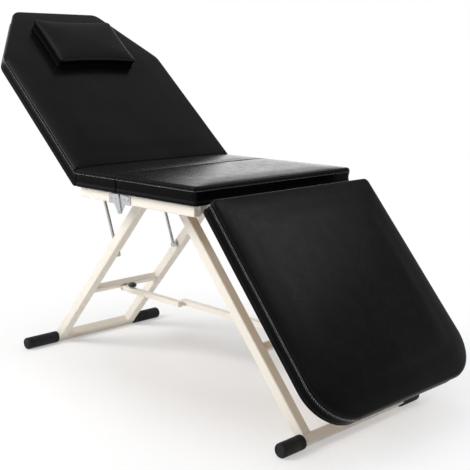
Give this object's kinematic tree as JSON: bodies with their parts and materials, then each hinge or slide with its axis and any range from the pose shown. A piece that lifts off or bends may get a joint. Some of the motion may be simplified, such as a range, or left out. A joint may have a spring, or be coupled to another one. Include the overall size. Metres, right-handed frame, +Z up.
{
  "type": "folding massage table",
  "caption": "Folding massage table with a raised backrest and pillow, a level seat, a lowered leg rest and splayed tubular legs tied by a stretcher.",
  "frame": {"origin": "on the floor, under the middle of the table's box", "axes": "+X from head to foot, +Y across the table away from the near side, +Z up"},
  "size_m": [1.5208, 0.6, 1.0833],
  "materials": {
    "faux_leather": "black faux leather, satin, fine grain",
    "plywood": "bare plywood",
    "powder_coat": "cream powder coat, semi-gloss",
    "rubber": "matt black",
    "zinc": "zinc plated",
    "steel": "bright drawn steel"
  },
  "bodies": {
    "seat_half": {"seat_pad": "faux_leather", "seat_board": "plywood", "seat_rail_near": "powder_coat", "seat_rail_far": "powder_coat", "fold_leaf_seat_near": "zinc", "fold_leaf_seat_far": "zinc", "foot_leg_bracket_near": "zinc", "foot_leg_bracket_far": "zinc", "foot_leg_axle": "zinc", "leg_rest_lug_near": "zinc", "leg_rest_lug_far": "zinc"},
    "head_half": {"middle_pad": "faux_leather", "middle_board": "plywood", "middle_rail_near": "powder_coat", "middle_rail_far": "powder_coat", "fold_leaf_head_near": "zinc", "fold_leaf_head_far": "zinc", "head_leg_bracket_near": "zinc", "head_leg_bracket_far": "zinc", "head_leg_axle": "zinc", "back_hinge_leaf": "zinc"},
    "head_leg": {"head_upright_near": "powder_coat", "head_upright_far": "powder_coat", "head_floor_bar": "powder_coat", "head_crossbar": "powder_coat", "head_cap_near": "rubber", "head_cap_far": "rubber", "stretcher_ear_head": "zinc", "strut_bolt_near": "zinc", "strut_bolt_far": "zinc"},
    "foot_leg": {"foot_upright_near": "powder_coat", "foot_upright_far": "powder_coat", "foot_floor_bar": "powder_coat", "foot_crossbar": "powder_coat", "foot_cap_near": "rubber", "foot_cap_far": "rubber", "stretcher_ear_foot": "zinc"},
    "head_link": {"stretcher_link_head": "powder_coat", "stretcher_pin_head": "zinc"},
    "foot_link": {"stretcher_link_foot": "powder_coat", "stretcher_pin_foot": "zinc"},
    "knob": {"stretcher_knob": "rubber"},
    "backrest": {"back_pad": "faux_leather", "back_board": "plywood", "back_hinge_strap": "zinc", "strut_lug_near": "zinc", "strut_lug_far": "zinc"},
    "pillow": {"pillow": "faux_leather"},
    "strut_axle": {"strut_axle": "zinc"},
    "strut_tubes": {"strut_tube_near": "steel", "strut_tube_far": "steel"},
    "strut_rods": {"strut_rod_near": "steel", "strut_rod_far": "steel"},
    "leg_rest_arms": {"leg_rest_arm_near": "powder_coat", "leg_rest_arm_far": "powder_coat", "leg_rest_strap": "powder_coat"},
    "leg_rest": {"leg_rest_pad": "faux_leather", "leg_rest_board": "plywood", "leg_rest_ear_near": "zinc", "leg_rest_ear_far": "zinc"}
  },
  "joints": [
    {"name": "fold", "type": "hinge", "parent": "seat_half", "child": "head_half", "pos_m": [-0.01022, 0, 0.525], "axis": [0, -1, 0], "range_deg": [0, 180]},
    {"name": "backrest_tilt", "type": "hinge", "parent": "head_half", "child": "backrest", "pos_m": [-0.21747, 0, 0.5686], "axis": [0, 1, 0], "range_deg": [-40.85, 0]},
    {"name": "leg_rest_tilt", "type": "hinge", "parent": "leg_rest_arms", "child": "leg_rest", "pos_m": [0.32377, 0, 0.5614], "axis": [0, 1, 0], "range_deg": [-49.84, 0]},
    {"name": "pillow_lift", "type": "slide", "parent": "backrest", "child": "pillow", "axis": [0.6541, 0, 0.7564], "range_m": [0, 0.12]},
    {"name": "knob_turn", "type": "hinge", "parent": "head_link", "child": "knob", "pos_m": [-0.32279, -0.013, 0.205], "axis": [0, 0, 1], "continuous": true},
    {"name": "head_leg_fold", "type": "hinge", "parent": "head_half", "child": "head_leg", "pos_m": [-0.07562, 0, 0.545], "axis": [0, 1, 0], "range_deg": [0, 47.54]},
    {"name": "foot_leg_fold", "type": "hinge", "parent": "seat_half", "child": "foot_leg", "pos_m": [0.12318, 0, 0.545], "axis": [0, -1, 0], "range_deg": [0, 49.12]},
    {"name": "head_link_fold", "type": "hinge", "parent": "head_leg", "child": "head_link", "pos_m": [-0.36779, 0, 0.19677], "axis": [0, -1, 0], "range_deg": [0, 47.54]},
    {"name": "foot_link_fold", "type": "hinge", "parent": "foot_leg", "child": "foot_link", "pos_m": [0.39843, 0, 0.19717], "axis": [0, 1, 0], "range_deg": [0, 49.12]},
    {"name": "leg_rest_raise", "type": "hinge", "parent": "seat_half", "child": "leg_rest_arms", "pos_m": [0.32377, 0, 0.5614], "axis": [0, -1, 0], "range_deg": [0, 49.85]},
    {"name": "strut_release", "type": "hinge", "parent": "backrest", "child": "strut_axle", "pos_m": [-0.4088, 0, 0.72955], "axis": [0, 1, 0], "range_deg": [0, 132.21]},
    {"name": "strut_swing", "type": "hinge", "parent": "strut_axle", "child": "strut_tubes", "pos_m": [-0.4088, 0, 0.72955], "axis": [0, 1, 0], "range_deg": [0, 19.15]},
    {"name": "strut_slide", "type": "slide", "parent": "strut_tubes", "child": "strut_rods", "axis": [0.35, 0, -0.9368], "range_m": [-0.11195, 0]}
  ],
  "couplings": [
    {"joint": "head_leg_fold", "follows": "fold", "ratio": 0.26407},
    {"joint": "foot_leg_fold", "follows": "fold", "ratio": 0.27284},
    {"joint": "head_link_fold", "follows": "fold", "ratio": 0.26407},
    {"joint": "foot_link_fold", "follows": "fold", "ratio": 0.27284},
    {"joint": "leg_rest_raise", "follows": "fold", "ratio": 0.27689},
    {"joint": "strut_release", "follows": "fold", "ratio": 0.73445},
    {"joint": "strut_swing", "follows": "backrest_tilt", "ratio": -0.46842},
    {"joint": "strut_slide", "follows": "backrest_tilt", "m_per_rad": 0.15688}
  ]
}
